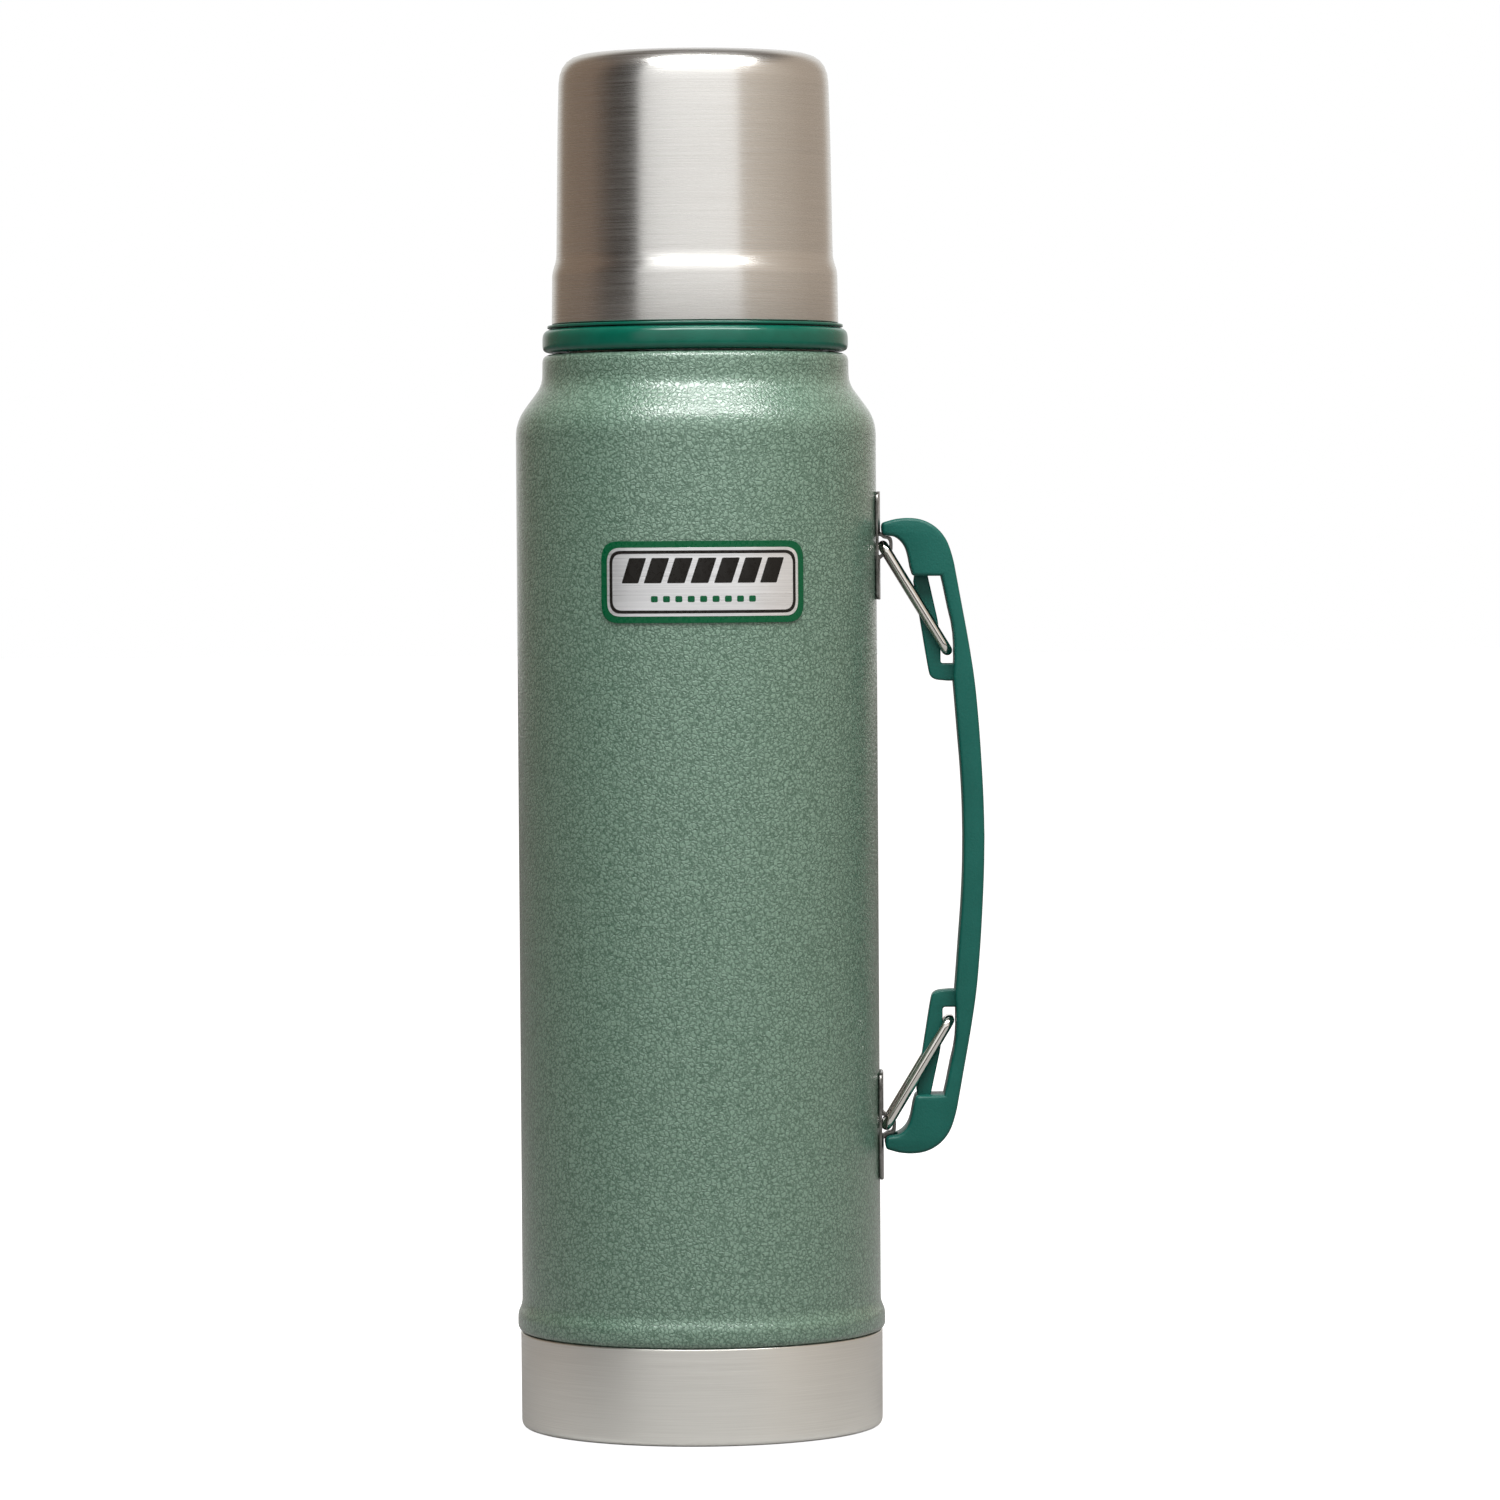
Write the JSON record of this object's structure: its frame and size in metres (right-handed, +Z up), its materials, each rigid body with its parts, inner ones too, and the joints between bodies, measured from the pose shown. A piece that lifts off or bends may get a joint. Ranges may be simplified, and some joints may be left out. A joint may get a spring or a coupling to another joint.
{
  "type": "vacuum flask",
  "caption": "Tall steel vacuum flask with a hammered paint finish, a screw-on drinking cup over a stopper, and a side carry handle that folds out on wire bails.",
  "frame": {"origin": "on the flask's axis, at the middle of the flat base that it stands on", "axes": "+Z up along the flask's axis, +X from the axis towards the carry handle, -Y towards the badge"},
  "size_m": [0.124, 0.0972, 0.362],
  "materials": {
    "hammered_paint": "glossy hammered enamel",
    "brushed_steel": "brushed round the axis",
    "inner_steel": "electropolished",
    "wire": "bright drawn steel wire",
    "bracket": "bright pressed steel",
    "rim_plastic": "glossy moulded",
    "handle_plastic": "satin moulded",
    "stopper_plastic": "satin moulded",
    "seal_rubber": "matte silicone",
    "foam": "foamed",
    "getter_alloy": "dull",
    "badge_foil": "brushed foil, printed"
  },
  "bodies": {
    "vessel": {"outer_shell": "hammered_paint", "base_cup": "brushed_steel", "outer_bottom": "inner_steel", "vacuum_seal": "getter_alloy", "getter": "getter_alloy", "inner_liner": "inner_steel", "liner_bottom": "inner_steel", "threaded_neck": "inner_steel", "badge": "badge_foil", "upper_bracket": "bracket", "lower_bracket": "bracket"},
    "stopper_seal": {"flange_gasket": "seal_rubber"},
    "stopper": {"stopper_body": "stopper_plastic", "stopper_core": "foam", "stopper_knob": "stopper_plastic", "plug_seal": "seal_rubber"},
    "cup_rim": {"cup_ring": "rim_plastic"},
    "cup": {"cup_shell": "brushed_steel", "cup_liner": "rim_plastic"},
    "handle": {"handle": "handle_plastic"},
    "upper_bail": {"upper_bail": "wire"},
    "lower_bail": {"lower_bail": "wire"}
  },
  "joints": [
    {"name": "stopper_lift", "type": "slide", "parent": "vessel", "child": "stopper_seal", "axis": [0, 0, 1], "range_m": [0, 0.075]},
    {"name": "stopper_turn", "type": "hinge", "parent": "stopper_seal", "child": "stopper", "pos_m": [0, 0, 0.3044], "axis": [0, 0, 1], "range_deg": [0, 540]},
    {"name": "cup_lift", "type": "slide", "parent": "stopper_seal", "child": "cup_rim", "axis": [0, 0, 1], "range_m": [0, 0.09]},
    {"name": "cup_turn", "type": "hinge", "parent": "cup_rim", "child": "cup", "pos_m": [0, 0, 0.2837], "axis": [0, 0, 1], "range_deg": [0, 540]},
    {"name": "handle_pull", "type": "slide", "parent": "vessel", "child": "handle", "axis": [1, 0, 0], "range_m": [0, 0.013]},
    {"name": "upper_bail_swing", "type": "hinge", "parent": "vessel", "child": "upper_bail", "pos_m": [0.04915, 0, 0.2325], "axis": [0, -1, 0], "range_deg": [0, 28.8]},
    {"name": "lower_bail_swing", "type": "hinge", "parent": "vessel", "child": "lower_bail", "pos_m": [0.04915, 0, 0.0793], "axis": [0, 1, 0], "range_deg": [0, 28.8]}
  ],
  "couplings": [
    {"joint": "upper_bail_swing", "follows": "handle_pull", "rad_per_m": 38.66},
    {"joint": "lower_bail_swing", "follows": "handle_pull", "rad_per_m": 38.66}
  ]
}
